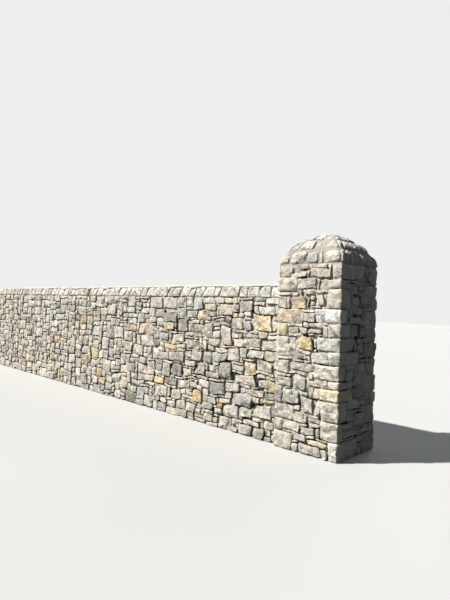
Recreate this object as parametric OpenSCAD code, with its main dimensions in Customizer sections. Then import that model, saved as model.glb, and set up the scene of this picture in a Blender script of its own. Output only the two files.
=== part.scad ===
// Rubble stone wall with a leaning coping and a domed end pier.
// X runs along the wall towards the pier, the front face looks to -Y, Z is up.
// The origin is at the middle of the footprint, at ground level.

/* [Wall] */
// Length of one bay of wall
bay_len = 1600; // [1200:50:2000]
// Thickness of the wall over its stone faces
wall_t = 700; // [500:10:740]
// Height of the wall up to the underside of its coping
wall_h = 1685; // [1200:5:1800]
// Depth of the mortar behind the stone faces
pointing_recess = 20; // [8:1:30]
// Width of a mortar joint between worked stones
joint_w = 11; // [6:1:16]

/* [Rubble] */
// Usual length of a face stone
rubble_len = 400; // [300:10:520]
// Usual height of a face stone
rubble_rise = 280; // [220:5:400]
// How far the joints between face stones stray, as a share of a stone
rubble_stray = 0.3; // [0:0.02:0.34]
// How far a joint between face stones is out of true over one stone, as a share of a stone
rubble_skew = 0.07; // [0:0.01:0.08]
// Depth of a face stone into the wall
rubble_bed = 120; // [60:5:180]

/* [Coping] */
// Height of the leaning coping stones
cope_h = 160; // [120:5:220]
// Usual length of a coping stone along the wall
cope_len = 155; // [110:5:240]
// Lean of the coping stones towards the pier, in degrees from upright
cope_lean = 27; // [0:1:35]
// Length of coping, from the pier, over which the lean builds up
lean_run = 1900; // [400:100:4000]
// How much the tops of the coping stones differ in height
cope_rough = 14; // [0:1:25]
// Size of the worn arris along the top of a coping stone
cope_wear = 18; // [4:1:30]

/* [Pier] */
// Width and depth of the square pier over its stone faces
pier_w = 800; // [760:10:1100]
// Height of the pier up to the springing of its dome
pier_h = 2050; // [2030:10:2600]
// Length of a long quoin stone
quoin_long = 290; // [220:5:300]
// Length of a short quoin stone
quoin_short = 130; // [90:5:180]

/* [Dome] */
// Rise of the domed cap above its springing
dome_h = 365; // [250:5:500]
// Fullness of the dome's curve, where 2 is an ellipse
dome_fullness = 1.8; // [1.5:0.05:2.2]
// How much the hips of the dome are worn back from a sharp line
hip_wear = 0.15; // [0:0.01:0.25]
// Depth of the dome's stones behind their narrow top edge
dome_bed = 110; // [60:5:140]

/* [Hidden] */

stone = [0.80, 0.78, 0.73];
pale_stone = [0.86, 0.84, 0.78];
grey_stone = [0.72, 0.71, 0.70];
mortar = [0.78, 0.73, 0.64];

bay_count = 6;
total_len = bay_count * bay_len + pier_w;
wall_x0 = -total_len / 2;
pier_x0 = total_len / 2 - pier_w;
pier_x1 = total_len / 2;
pier_cx = (pier_x0 + pier_x1) / 2;
core_half = pier_w / 2 - pointing_recess;
wall_half = wall_t / 2 - pointing_recess;
big = 4 * pier_w;
infill_bed = 0.26 * quoin_long;

// Heights of the corner courses from the ground up, which are shared out over the real height
right_courses = [205, 195, 215, 125, 85, 160, 145, 145, 145, 155, 210, 100, 165];
left_courses = [200, 135, 170, 195, 105, 40, 155, 35, 225, 140, 165, 145, 45, 160, 135];
back_courses = [150, 160, 220, 130, 190, 190, 170, 155, 200, 155, 130, 200];
end_courses = [190, 150, 170, 120, 185, 110, 160, 145, 175, 130, 150];

// Lengths of the quoins as shares of a long one, course by course
right_front_shares = [0.36, 0.68, 0.70, 1.00, 0.42, 1.00, 0.42, 0.90, 0.45, 1.00, 0.52, 0.86, 0.36];
right_side_shares = [1.35, 0.28, 0.60, 0.95, 1.00, 0.45, 1.42, 1.00, 0.75, 0.38, 0.70, 0.55, 1.00];
left_front_shares = [
    0.80, 0.36, 0.85, 0.34, 0.72, 0.50, 0.62, 0.70, 0.90, 0.48, 1.05, 0.42, 0.62, 0.90, 0.52
];
left_side_shares = [
    0.60, 1.00, 0.45, 0.95, 0.50, 0.90, 0.45, 0.90, 0.42, 1.00, 0.40, 0.95, 0.80, 0.45, 1.00
];

// Adds up the first count values of a list
function sum_to(list, count) = count < 1 ? 0 : list[count - 1] + sum_to(list, count - 1);
function shared(list, height) = [for (value = list) value * height / sum_to(list, len(list))];
function scaled(list, size) = [for (value = list) value * size];
// Long and short stones by turns, each a little off its usual length
function by_turns(count, odd, seed) =
    let (vary = rands(0.9, 1.08, count, seed))
    [for (i = [0 : count - 1]) vary[i] * (i % 2 == odd ? quoin_long : quoin_short)];

// One corner of bonded stones, with its arris on Z and its faces running along +X and +Y
module quoin_stack(heights, runs_x, runs_y) {
    for (i = [0 : len(heights) - 1])
        translate([0, 0, sum_to(heights, i)])
            cube([runs_x[i], runs_y[i], heights[i] - joint_w]);
}

back_right_runs = by_turns(len(back_courses), 1, 11);
back_right_side_runs = by_turns(len(back_courses), 0, 12);
back_left_runs = by_turns(len(left_courses), 0, 13);
back_left_side_runs = by_turns(len(left_courses), 1, 14);
end_runs = by_turns(len(end_courses), 0, 21);
end_side_runs = by_turns(len(end_courses), 1, 22);

module front_right_quoins() {
    translate([pier_x1, -pier_w / 2, 0])
        mirror([1, 0, 0])
            quoin_stack(shared(right_courses, pier_h),
                scaled(right_front_shares, quoin_long), scaled(right_side_shares, quoin_long));
}

module front_left_quoins() {
    translate([pier_x0, -pier_w / 2, 0])
        quoin_stack(shared(left_courses, pier_h),
            scaled(left_front_shares, quoin_long), scaled(left_side_shares, quoin_long));
}

module back_right_quoins() {
    translate([pier_x1, pier_w / 2, 0])
        mirror([1, 0, 0])
            mirror([0, 1, 0])
                quoin_stack(shared(back_courses, pier_h), back_right_runs, back_right_side_runs);
}

module back_left_quoins() {
    translate([pier_x0, pier_w / 2, 0])
        mirror([0, 1, 0])
            quoin_stack(shared(left_courses, pier_h), back_left_runs, back_left_side_runs);
}

module end_quoins() {
    translate([wall_x0, -wall_t / 2, 0])
        quoin_stack(shared(end_courses, wall_h), end_runs, end_side_runs);
}

module end_quoins_front() {
    color(pale_stone)
        end_quoins();
}

module end_quoins_back() {
    color(pale_stone)
        mirror([0, 1, 0])
            end_quoins();
}

// Joints between the face stones: the uprights and the beds stop each other by turns, node by node
// of a grid, so that no joint runs on for more than two stones
rubble_columns = max(2, round(bay_len / rubble_len));
rubble_rows = max(2, round(wall_h / rubble_rise));
last_column = bay_count * rubble_columns;
column_pitch = bay_len / rubble_columns;
row_pitch = wall_h / rubble_rows;
quoin_reach = 1.1 * quoin_long;

function stray(i, j, seed) = rubble_stray * rands(-1, 1, 1, seed + 37 * i + j)[0];
function drift(i, j, seed) = rubble_skew * rands(-1, 1, 1, seed + 37 * i + j)[0];

// A joint is a line: its place, its drift from there, and the node from which it drifts
function upright(i, j) =
    let (n = j + (i + j) % 2)
    i == 1 ? [quoin_reach, 0, 0]
    : i == last_column ? [i * column_pitch, 0, 0]
    : [(i + stray(i, n, 1)) * column_pitch, drift(i, n, 4001) * column_pitch / row_pitch, n * row_pitch];
function bed(i, j) =
    let (n = i + (i + j + 1) % 2)
    j == 0 || j == rubble_rows ? [j * row_pitch, 0, 0]
    : [(j + stray(n, j, 2001)) * row_pitch, drift(n, j, 6001) * row_pitch / column_pitch, n * column_pitch];
function moved(joint, by) = [joint[0] + by, joint[1], joint[2]];
function meet(side, level) =
    let (x = (side[0] + side[1] * (level[0] - level[1] * level[2] - side[2])) / (1 - side[1] * level[1]))
    [x, level[0] + level[1] * (x - level[2])];

// A face stone between two upright and two bed joints, none of them quite true
module rubble_stone(i, j) {
    gap = joint_w / 2;
    left = moved(upright(i, j), gap);
    right = moved(upright(i + 1, j), -gap);
    low = moved(bed(i, j), gap);
    high = moved(bed(i, j + 1), -gap);
    translate([0, rubble_bed, 0])
        rotate([90, 0, 0])
            linear_extrude(rubble_bed)
                polygon([meet(left, low), meet(right, low), meet(right, high), meet(left, high)]);
}

// Face stones from one column of the grid to another, alike on both sides of the wall
module rubble_face(first, last) {
    for (i = [max(1, first) : min(last_column - 1, last)], j = [0 : rubble_rows - 1])
        rubble_stone(i, j);
}

// Stones that fill out the courses behind the short quoins of the free end
module end_closers() {
    heights = shared(end_courses, wall_h);
    for (i = [0 : len(heights) - 1])
        if (quoin_reach - end_runs[i] > 6 * joint_w)
            translate([end_runs[i] + joint_w, 0, sum_to(heights, i)])
                cube([quoin_reach - end_runs[i] - 1.5 * joint_w, rubble_bed, heights[i] - joint_w]);
}

module both_faces(first, last) {
    translate([wall_x0, -wall_t / 2, 0]) {
        rubble_face(first, last);
        if (first < 1) end_closers();
    }
    mirror([0, 1, 0])
        translate([wall_x0, -wall_t / 2, 0]) {
            rubble_face(first, last);
            if (first < 1) end_closers();
        }
}

// Stones between the quoins of two corners, in the courses of the first
function run_between(heights, runs, low, high) =
    max([for (i = [0 : len(heights) - 1])
        if (sum_to(heights, i) < high && sum_to(heights, i + 1) > low) runs[i]]);

module infill(heights, runs, other_heights, other_runs, width) {
    for (i = [0 : len(heights) - 1]) {
        low = sum_to(heights, i);
        high = low + heights[i] - joint_w;
        left = runs[i] + joint_w;
        right = width - run_between(other_heights, other_runs, low, high) - joint_w;
        pieces = max(1, round((right - left) / quoin_long));
        step = (right - left + joint_w) / pieces;
        if (right - left > 6 * joint_w && high - low > 4 * joint_w)
            for (n = [0 : pieces - 1])
                translate([left + n * step, 0, low])
                    cube([step - joint_w, infill_bed, high - low]);
    }
}

module end_infill() {
    heights = shared(end_courses, wall_h);
    translate([wall_x0, wall_t / 2, 0])
        rotate([0, 0, -90])
            infill(heights, end_side_runs, heights, end_side_runs, wall_t);
}

module rubble_bay(k) {
    color(grey_stone) {
        both_faces(k * rubble_columns, (k + 1) * rubble_columns - 1);
        if (k == 0) end_infill();
    }
}

// Mortared hearting of one bay, with a pocket for every face stone
module wall_bay(k) {
    x0 = wall_x0 + k * bay_len + (k == 0 ? pointing_recess : 0);
    x1 = wall_x0 + (k + 1) * bay_len;
    color(mortar)
        difference() {
            translate([x0, -wall_half, 0])
                cube([x1 - x0, 2 * wall_half, wall_h]);
            both_faces(k * rubble_columns - 1, (k + 1) * rubble_columns);
            if (k == 0) {
                end_quoins_front();
                end_quoins_back();
                end_infill();
            }
        }
}

// Joints of the coping, numbered from the free end to the pier
cope_per_bay = max(3, round(bay_len / cope_len));
cope_count = bay_count * cope_per_bay;
cope_pitch = bay_len / cope_per_bay;
cope_shift = rands(-0.27, 0.27, cope_count + 1, 41);
cope_sway = rands(-4, 4, cope_count + 1, 42);
cope_drop = rands(0, 1, cope_count, 43);

function at_end(j) = j == 0 || j == cope_count;
function joint_x(j) = wall_x0 + (j + (at_end(j) ? 0 : cope_shift[j])) * cope_pitch;
function joint_lean(j) =
    at_end(j) ? 0 : (cope_lean + cope_sway[j]) * min(1, (pier_x0 - joint_x(j)) / lean_run);
function joint_at(j, z) = joint_x(j) + z * tan(joint_lean(j));
function stone_left(j, z) = joint_at(j, z) + (j == 0 ? 0 : joint_w / 2);
function stone_right(j, z) = joint_at(j + 1, z) - joint_w / 2;

// One leaning stone that runs right through the wall and rests on its top
module cope_stone(j) {
    top = cope_h - cope_rough * cope_drop[j];
    shoulder = top - cope_wear;
    translate([0, 0, wall_h])
        rotate([90, 0, 0])
            linear_extrude(wall_t, center = true)
                polygon([
                    [stone_left(j, 0), 0],
                    [stone_right(j, 0), 0],
                    [stone_right(j, shoulder), shoulder],
                    [stone_right(j, top) - cope_wear, top],
                    [stone_left(j, top) + cope_wear, top],
                    [stone_left(j, shoulder), shoulder]
                ]);
}

module coping_bay(k) {
    color(pale_stone)
        for (j = [k * cope_per_bay : (k + 1) * cope_per_bay - 1])
            cope_stone(j);
}

// Main face stones of the pier's front, in rows: foot and head of the row as shares of the pier's
// height, then the two sides of each stone as shares of the room between the quoins, from the right
front_rows = [
    [0.002, 0.049, [[0.15, 1.00]]],
    [0.102, 0.155, [[0.09, 0.51], [0.54, 1.00]]],
    [0.161, 0.217, [[0.41, 0.99]]],
    [0.249, 0.297, [[0.12, 0.50], [0.54, 1.00]]],
    [0.327, 0.388, [[0.23, 1.00]]],
    [0.429, 0.478, [[0.01, 0.97]]],
    [0.488, 0.541, [[0.00, 0.52]]],
    [0.547, 0.610, [[0.15, 0.89]]],
    [0.624, 0.663, [[0.71, 0.98]]],
    [0.693, 0.744, [[0.05, 0.87]]],
    [0.771, 0.828, [[0.04, 0.27], [0.47, 0.89]]],
    [0.863, 0.916, [[0.11, 0.93]]],
    [0.923, 0.971, [[0.08, 0.69]]]
];

module front_infill() {
    rights = shared(right_courses, pier_h);
    lefts = shared(left_courses, pier_h);
    for (row = front_rows) {
        low = row[0] * pier_h;
        high = row[1] * pier_h;
        near = run_between(rights, scaled(right_front_shares, quoin_long), low, high) + joint_w;
        far = run_between(lefts, scaled(left_front_shares, quoin_long), low, high) + joint_w;
        room = pier_w - near - far;
        for (side = row[2])
            translate([pier_x1 - near - side[1] * room, -pier_w / 2, low])
                cube([(side[1] - side[0]) * room, infill_bed, high - low]);
    }
}

// Face stones on the end, the back and the inner side, course by course
module side_infill() {
    translate([pier_x1, -pier_w / 2, 0])
        rotate([0, 0, 90])
            infill(shared(right_courses, pier_h), scaled(right_side_shares, quoin_long),
                shared(back_courses, pier_h), back_right_side_runs, pier_w);
    translate([pier_x1, pier_w / 2, 0])
        rotate([0, 0, 180])
            infill(shared(back_courses, pier_h), back_right_runs,
                shared(left_courses, pier_h), back_left_runs, pier_w);
}

module pier_rubble() {
    color(grey_stone) {
        front_infill();
        side_infill();
    }
}

// Hearting of the pier, with a pocket for every quoin and face stone
module pier_core() {
    color(mortar)
        difference() {
            union() {
                translate([pier_cx - core_half, -core_half, 0])
                    cube([2 * core_half, 2 * core_half, pier_h]);
                translate([pier_x0, -wall_half, 0])
                    cube([pier_w / 2, 2 * wall_half, wall_h + cope_h]);
            }
            front_right_quoins();
            front_left_quoins();
            back_right_quoins();
            back_left_quoins();
            front_infill();
            side_infill();
        }
}

// Levels of the dome's beds above the springing, as shares of its rise
dome_beds = [0, 0.45, 0.76, 0.90];
curve_steps = 10;

// Half width of the dome at a height above the springing
function dome_half(z) = pier_w / 2 * pow(1 - pow(z / dome_h, dome_fullness), 1 / dome_fullness);
function arch_points(half, rise, fullness) =
    [for (i = [0 : 2 * curve_steps])
        let (a = 90 * i / curve_steps, side = cos(a) < 0 ? -1 : 1)
        [side * half * pow(abs(cos(a)), 2 / fullness), rise * pow(max(0, sin(a)), 2 / fullness)]];

// A barrel of the dome's curve, lying along Y
module barrel(half, rise, fullness) {
    rotate([90, 0, 0])
        linear_extrude(big, center = true)
            polygon(arch_points(half, rise, fullness));
}

// Four curved faces that meet on hips, which are worn back a little
module dome_form(inset) {
    half = pier_w / 2 - inset;
    rise = dome_h - inset;
    translate([pier_cx, 0, pier_h])
        intersection() {
            barrel(half, rise, dome_fullness);
            rotate([0, 0, 90])
                barrel(half, rise, dome_fullness);
            for (turn = [45, 135])
                rotate([0, 0, turn])
                    barrel(half * sqrt(2), rise, dome_fullness - hip_wear);
        }
}

// Plan of the stones of one ring: cuts are shares of the half width, measured from the middle
module ring_plan(inner, cuts) {
    gap = joint_w / 2;
    last = len(cuts) - 1;
    for (turn = [0 : 90 : 270])
        rotate([0, 0, turn]) {
            for (i = [0 : last - 1])
                polygon([
                    [inner, inner * cuts[i] + gap],
                    [big, big * cuts[i] + gap],
                    [big, big * cuts[i + 1] - gap],
                    [inner, inner * cuts[i + 1] - gap]
                ]);
            polygon([
                [inner, inner * cuts[last] + gap],
                [big, big * cuts[last] + gap],
                [big, big],
                [-big * cuts[0] + gap, big],
                [-inner * cuts[0] + gap, inner],
                [inner, inner]
            ]);
        }
}

// One ring of wedge-shaped stones between two beds, open in the middle
module dome_ring(k, cuts) {
    low = dome_beds[k] * dome_h;
    high = dome_beds[k + 1] * dome_h;
    intersection() {
        dome_form(0);
        translate([pier_cx, 0, pier_h + low])
            linear_extrude(high - low - joint_w)
                ring_plan(dome_half(high) - dome_bed, cuts);
    }
}

module dome_ring_lower() {
    color(stone)
        dome_ring(0, [-0.62, -0.22, 0.20, 0.60]);
}

module dome_ring_middle() {
    color(pale_stone)
        dome_ring(1, [-0.55, -0.08, 0.52]);
}

module dome_ring_upper() {
    color(stone)
        dome_ring(2, [-0.35, 0.42]);
}

module dome_capstone() {
    bed = dome_beds[3] * dome_h;
    color(pale_stone)
        intersection() {
            dome_form(0);
            translate([pier_cx - pier_w / 2, -pier_w / 2, pier_h + bed])
                cube([pier_w, pier_w, dome_h]);
        }
}

// Mortar and small stone that fill the dome behind and between its stones
module dome_bedding() {
    color(mortar)
        difference() {
            dome_form(pointing_recess);
            dome_ring_lower();
            dome_ring_middle();
            dome_ring_upper();
            dome_capstone();
        }
}

module pier_quoins_front_right() { color(pale_stone) front_right_quoins(); }
module pier_quoins_front_left() { color(grey_stone) front_left_quoins(); }
module pier_quoins_back_right() { color(stone) back_right_quoins(); }
module pier_quoins_back_left() { color(pale_stone) back_left_quoins(); }

wall_bay(0);  // wall_bay_1
wall_bay(1);  // wall_bay_2
wall_bay(2);  // wall_bay_3
wall_bay(3);  // wall_bay_4
wall_bay(4);  // wall_bay_5
wall_bay(5);  // wall_bay_6
rubble_bay(0);  // rubble_bay_1
rubble_bay(1);  // rubble_bay_2
rubble_bay(2);  // rubble_bay_3
rubble_bay(3);  // rubble_bay_4
rubble_bay(4);  // rubble_bay_5
rubble_bay(5);  // rubble_bay_6
coping_bay(0);  // coping_bay_1
coping_bay(1);  // coping_bay_2
coping_bay(2);  // coping_bay_3
coping_bay(3);  // coping_bay_4
coping_bay(4);  // coping_bay_5
coping_bay(5);  // coping_bay_6
end_quoins_front();
end_quoins_back();
pier_core();
pier_rubble();
pier_quoins_front_right();
pier_quoins_front_left();
pier_quoins_back_right();
pier_quoins_back_left();
dome_bedding();
dome_ring_lower();
dome_ring_middle();
dome_ring_upper();
dome_capstone();
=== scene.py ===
import math
import random
import bpy
import bmesh
from mathutils import Vector, Matrix, noise


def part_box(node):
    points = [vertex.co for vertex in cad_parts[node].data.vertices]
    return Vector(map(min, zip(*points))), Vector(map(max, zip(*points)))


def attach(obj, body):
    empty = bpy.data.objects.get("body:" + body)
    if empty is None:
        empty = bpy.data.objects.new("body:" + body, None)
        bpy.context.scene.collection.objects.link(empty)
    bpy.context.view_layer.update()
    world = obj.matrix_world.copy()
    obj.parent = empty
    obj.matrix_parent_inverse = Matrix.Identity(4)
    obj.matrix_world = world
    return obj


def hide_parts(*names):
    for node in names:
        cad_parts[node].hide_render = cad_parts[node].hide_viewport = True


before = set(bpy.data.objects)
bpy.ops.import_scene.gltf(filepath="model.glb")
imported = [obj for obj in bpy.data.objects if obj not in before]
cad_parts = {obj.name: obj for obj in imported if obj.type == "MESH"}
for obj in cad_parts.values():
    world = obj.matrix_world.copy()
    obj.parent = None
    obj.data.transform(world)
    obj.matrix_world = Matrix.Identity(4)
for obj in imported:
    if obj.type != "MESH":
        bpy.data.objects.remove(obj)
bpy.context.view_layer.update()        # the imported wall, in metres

noise.seed_set(5)        # unseeded, noise_vector would differ from run to run
up = Vector((0, 0, 1))
cm = 0.01
mm = 0.001

# Where the wall and its pier stand, read from the frame
wallLow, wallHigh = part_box("coping_bay_1")
pierLow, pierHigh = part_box("dome_ring_lower")
wallLeft = wallLow.x
wallFace = wallHigh.y
wallTop = wallLow.z
copeTop = wallHigh.z
pierLeft = pierLow.x
pierRight = pierHigh.x
pierFace = pierHigh.y
pierTop = pierLow.z
pierSpan = pierRight - pierLeft
wallSpan = pierLeft - wallLeft
bays = range(1, 7)       # from the far end to the pier
print("frame read: wall", round(wallSpan, 2), "m, pier top", round(pierTop, 2), "m")


def linear(red, green, blue):
    # a colour as it looks, 0 to 255, as the light that a shader takes
    def one(value):
        value /= 255
        return value / 12.92 if value <= 0.04045 else ((value + 0.055) / 1.055) ** 2.4
    return Vector((one(red), one(green), one(blue)))


# Colours of the limestone, as they look in sunlight
stoneTones = {
    "bright": linear(242, 238, 229),
    "chalk": linear(222, 221, 217),
    "ash": linear(207, 207, 204),
    "russet": linear(217, 202, 186),
    "white": linear(233, 228, 218),
    "cream": linear(225, 218, 204),
    "pale": linear(218, 212, 200),
    "grey": linear(210, 205, 194),
    "mid": linear(188, 185, 177),
    "dark": linear(160, 157, 150),
    "warm": linear(215, 207, 193),
    "pink": linear(216, 204, 192),
    "lilac": linear(196, 193, 189),
    "green": linear(206, 203, 189),
    "gold": linear(238, 217, 172),
    "honey": linear(231, 222, 200),
    "ochre": linear(224, 212, 188),
    "brown": linear(208, 196, 177),
}

# How much of a stone is stained yellow
stoneStains = {"gold": 0.4, "russet": 0.45, "honey": 0.7, "ochre": 0.85, "brown": 0.7,
               "cream": 0.1, "warm": 0.1}
usualStain = 0.05

# How often each colour comes in the rubble, in the coping, in the worked stones and on the dome
rubbleMix = {"white": 4, "cream": 16, "pale": 20, "grey": 19, "mid": 10, "dark": 2, "warm": 15,
             "pink": 5, "lilac": 4, "green": 4, "honey": 2, "ochre": 1, "brown": 1}
copingMix = {"bright": 18, "white": 13, "cream": 6, "pale": 6, "lilac": 2}
quoinMix = {"white": 3, "cream": 8, "pale": 8, "grey": 6, "warm": 5, "pink": 2, "mid": 2, "honey": 1}
domeMix = {"white": 3, "cream": 1, "pale": 3, "chalk": 7, "ash": 6, "mid": 2, "lilac": 1}

# How far a stone strays from the colour of its kind
toneSpread = {"darker": 0.09, "lighter": 0.07, "warmth": 0.025, "stain": 0.12}


def pickTone(mix, dice):
    return dice.choices(list(mix), weights=list(mix.values()))[0]


def tintedTone(tone, dice, shade):
    # red, green, blue and how much of the stone is stained
    shade *= 1 + dice.uniform(-toneSpread["darker"], toneSpread["lighter"])
    warmth = dice.uniform(-toneSpread["warmth"], toneSpread["warmth"])
    colour = stoneTones[tone] * shade
    stain = stoneStains.get(tone, usualStain) + dice.uniform(-toneSpread["stain"], toneSpread["stain"])
    return (colour.x * (1 + warmth), colour.y, colour.z * (1 - warmth), max(0, stain))


# Materials

def newMaterial(name):
    material = bpy.data.materials.new(name)
    material.use_nodes = True
    tree = material.node_tree
    tree.nodes.clear()
    output = tree.nodes.new("ShaderNodeOutputMaterial")
    shader = tree.nodes.new("ShaderNodeBsdfPrincipled")
    tree.links.new(shader.outputs["BSDF"], output.inputs["Surface"])
    return material, tree, shader


def dressShader(tree, shader, look, colour, normal):
    tree.links.new(colour, shader.inputs["Base Color"])
    tree.links.new(normal, shader.inputs["Normal"])
    shader.inputs["Roughness"].default_value = look["rough"]
    shader.inputs["Specular IOR Level"].default_value = look["specular"]


def addNode(tree, kind, **settings):
    node = tree.nodes.new(kind)
    for key, value in settings.items():
        setattr(node, key, value)
    return node


def fillSockets(tree, node, values):
    # each value is another node's output or a plain number
    for socket, value in zip(node.inputs, values):
        if isinstance(value, bpy.types.NodeSocket):
            tree.links.new(value, socket)
        else:
            socket.default_value = value


def mathNode(tree, operation, *values):
    node = addNode(tree, "ShaderNodeMath", operation=operation)
    fillSockets(tree, node, values)
    return node.outputs["Value"]


def vectorNode(tree, operation, *values):
    node = addNode(tree, "ShaderNodeVectorMath", operation=operation)
    fillSockets(tree, node, values)
    return node.outputs["Value" if operation == "DOT_PRODUCT" else "Vector"]


def noiseNode(tree, coords, scale, detail, rough, stretch=None):
    if stretch:
        stretched = addNode(tree, "ShaderNodeMapping")
        stretched.inputs["Scale"].default_value = stretch
        tree.links.new(coords, stretched.inputs["Vector"])
        coords = stretched.outputs["Vector"]
    node = addNode(tree, "ShaderNodeTexNoise")
    node.inputs["Scale"].default_value = scale
    node.inputs["Detail"].default_value = detail
    node.inputs["Roughness"].default_value = rough
    tree.links.new(coords, node.inputs["Vector"])
    return node.outputs["Fac"]


def rangeNode(tree, value, fromLow, fromHigh, toLow, toHigh):
    node = addNode(tree, "ShaderNodeMapRange", interpolation_type="SMOOTHSTEP")
    tree.links.new(value, node.inputs["Value"])
    for socket, number in zip(("From Min", "From Max", "To Min", "To Max"),
                              (fromLow, fromHigh, toLow, toHigh)):
        node.inputs[socket].default_value = number
    return node.outputs["Result"]


def mixNode(tree, blend, factor, first, second):
    # a mix of colours takes its factor at socket 0 and the two colours at 6 and 7
    node = addNode(tree, "ShaderNodeMix", data_type="RGBA", blend_type=blend)
    for socket, value in ((0, factor), (6, first), (7, second)):
        if isinstance(value, bpy.types.NodeSocket):
            tree.links.new(value, node.inputs[socket])
        elif socket:
            node.inputs[socket].default_value = (*value, 1)
        else:
            node.inputs[socket].default_value = value
    return node.outputs[2]


def coverNode(tree, value, limits, under, over):
    # lays one colour over another where a noise is high
    return mixNode(tree, "MIX", rangeNode(tree, value, *limits), under, over)


def shadeNode(tree, colour, value, limits):
    # darkens and lightens a colour by a noise
    shade = rangeNode(tree, value, *limits)
    grey = addNode(tree, "ShaderNodeCombineColor")
    for socket in grey.inputs:
        tree.links.new(shade, socket)
    return mixNode(tree, "MULTIPLY", 1.0, colour, grey.outputs["Color"])


def bumpNode(tree, height, distance, strength, normal=None):
    node = addNode(tree, "ShaderNodeBump")
    node.inputs["Distance"].default_value = distance
    node.inputs["Strength"].default_value = strength
    tree.links.new(height, node.inputs["Height"])
    if normal:
        tree.links.new(normal, node.inputs["Normal"])
    return node.outputs["Normal"]


facetEdges = {"waves": 12, "reach": 0.04}      # how the edges between split planes wander


def facetNode(tree, coords, scale):
    # split planes: every Voronoi cell leans its own way
    edges = addNode(tree, "ShaderNodeTexNoise")
    edges.inputs["Scale"].default_value = facetEdges["waves"]
    tree.links.new(coords, edges.inputs["Vector"])
    bent = vectorNode(tree, "MULTIPLY_ADD", edges.outputs["Color"], [facetEdges["reach"]] * 3, coords)
    cells = addNode(tree, "ShaderNodeTexVoronoi")
    cells.inputs["Scale"].default_value = scale
    tree.links.new(bent, cells.inputs["Vector"])
    lean = vectorNode(tree, "SUBTRACT", cells.outputs["Color"], (0.5, 0.5, 0.5))
    away = vectorNode(tree, "SUBTRACT", bent, cells.outputs["Position"])
    return mathNode(tree, "MULTIPLY", vectorNode(tree, "DOT_PRODUCT", lean, away), scale)


limestone = {
    "rough": 0.93,
    "specular": 0.25,
    # noises: scale, detail, roughness and stretch
    "cloud": (7, 3, 0.55),
    "mottle": (34, 5, 0.65, (1, 1, 1.7)),
    "stainSpread": (16, 5, 0.65, (1, 1, 0.8)),
    "limeSpread": (15, 5, 0.7),
    "grain": (190, 4, 0.7),
    "split": (24, 8, 0.62, (1, 1, 1.3)),
    # what a noise does: between which of its values, and how much at either end
    "cloudShade": (0.3, 0.7, 0.90, 1.06),
    "mottleShade": (0.3, 0.7, 0.79, 1.12),
    "stainCover": (0.46, 0.60, 0.1, 1),
    "limeCover": (0.56, 0.74, 0, 0.5),
    "sootCover": (0.6, 0.78, 0, 0.28),
    "stain": linear(222, 181, 116),
    "lime": linear(235, 230, 220),
    "soot": linear(112, 107, 99),
    # bumps: height in metres and strength
    "facetScale": 17,
    "facetBump": (0.04, 0.8),
    "splitBump": (0.02, 0.9),
    "grainBump": (0.004, 0.9),
}


def makeLimestone(name, look):
    material, tree, shader = newMaterial(name)
    place = addNode(tree, "ShaderNodeTexCoord")
    tone = addNode(tree, "ShaderNodeAttribute", attribute_name="stoneTone")
    shift = addNode(tree, "ShaderNodeAttribute", attribute_name="stoneShift")
    coords = vectorNode(tree, "ADD", place.outputs["Object"], shift.outputs["Vector"])
    cloud = noiseNode(tree, coords, *look["cloud"])
    mottle = noiseNode(tree, coords, *look["mottle"])
    stainSpread = noiseNode(tree, coords, *look["stainSpread"])
    limeSpread = noiseNode(tree, coords, *look["limeSpread"])
    grain = noiseNode(tree, coords, *look["grain"])
    split = noiseNode(tree, coords, *look["split"])

    colour = shadeNode(tree, tone.outputs["Color"], cloud, look["cloudShade"])
    colour = shadeNode(tree, colour, mottle, look["mottleShade"])
    stained = rangeNode(tree, stainSpread, *look["stainCover"])
    stained = mathNode(tree, "MULTIPLY", stained, tone.outputs["Alpha"])
    colour = mixNode(tree, "MIX", stained, colour, look["stain"])
    colour = coverNode(tree, limeSpread, look["limeCover"], colour, look["lime"])
    colour = coverNode(tree, grain, look["sootCover"], colour, look["soot"])

    normal = bumpNode(tree, facetNode(tree, coords, look["facetScale"]), *look["facetBump"])
    normal = bumpNode(tree, split, *look["splitBump"], normal)
    normal = bumpNode(tree, grain, *look["grainBump"], normal)
    dressShader(tree, shader, look, colour, normal)
    return material


limeMortar = {
    "rough": 0.96,
    "specular": 0.2,
    "patch": (5, 4, 0.6),
    "smear": (26, 5, 0.65),
    "grit": (260, 3, 0.7),
    "dampCover": (0.42, 0.68, 0, 0.8),
    "paleCover": (0.52, 0.72, 0, 0.7),
    "gritShade": (0.3, 0.7, 0.8, 1.1),
    "paintedRecessShade": (0.15, 0.6, 0.1, 1),      # painted shade: dark where the joint is raked out deep
    "sand": linear(208, 200, 185),
    "damp": linear(177, 168, 152),
    "pale": linear(228, 221, 208),
    "smearBump": (0.008, 0.7),
    "gritBump": (0.0022, 0.9),
}
freshMortar = dict(limeMortar, sand=linear(217, 211, 199), damp=linear(199, 192, 179))


def makeMortar(name, look):
    material, tree, shader = newMaterial(name)
    coords = addNode(tree, "ShaderNodeTexCoord").outputs["Object"]
    filled = addNode(tree, "ShaderNodeAttribute", attribute_name="stoneTone").outputs["Fac"]
    patch = noiseNode(tree, coords, *look["patch"])
    smear = noiseNode(tree, coords, *look["smear"])
    grit = noiseNode(tree, coords, *look["grit"])
    colour = coverNode(tree, patch, look["dampCover"], look["sand"], look["damp"])
    colour = coverNode(tree, smear, look["paleCover"], colour, look["pale"])
    colour = shadeNode(tree, colour, grit, look["gritShade"])
    # painted shade: the less a joint is filled, the darker its mortar is painted
    colour = shadeNode(tree, colour, filled, look["paintedRecessShade"])
    normal = bumpNode(tree, smear, *look["smearBump"])
    normal = bumpNode(tree, grit, *look["gritBump"], normal)
    dressShader(tree, shader, look, colour, normal)
    return material


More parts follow.
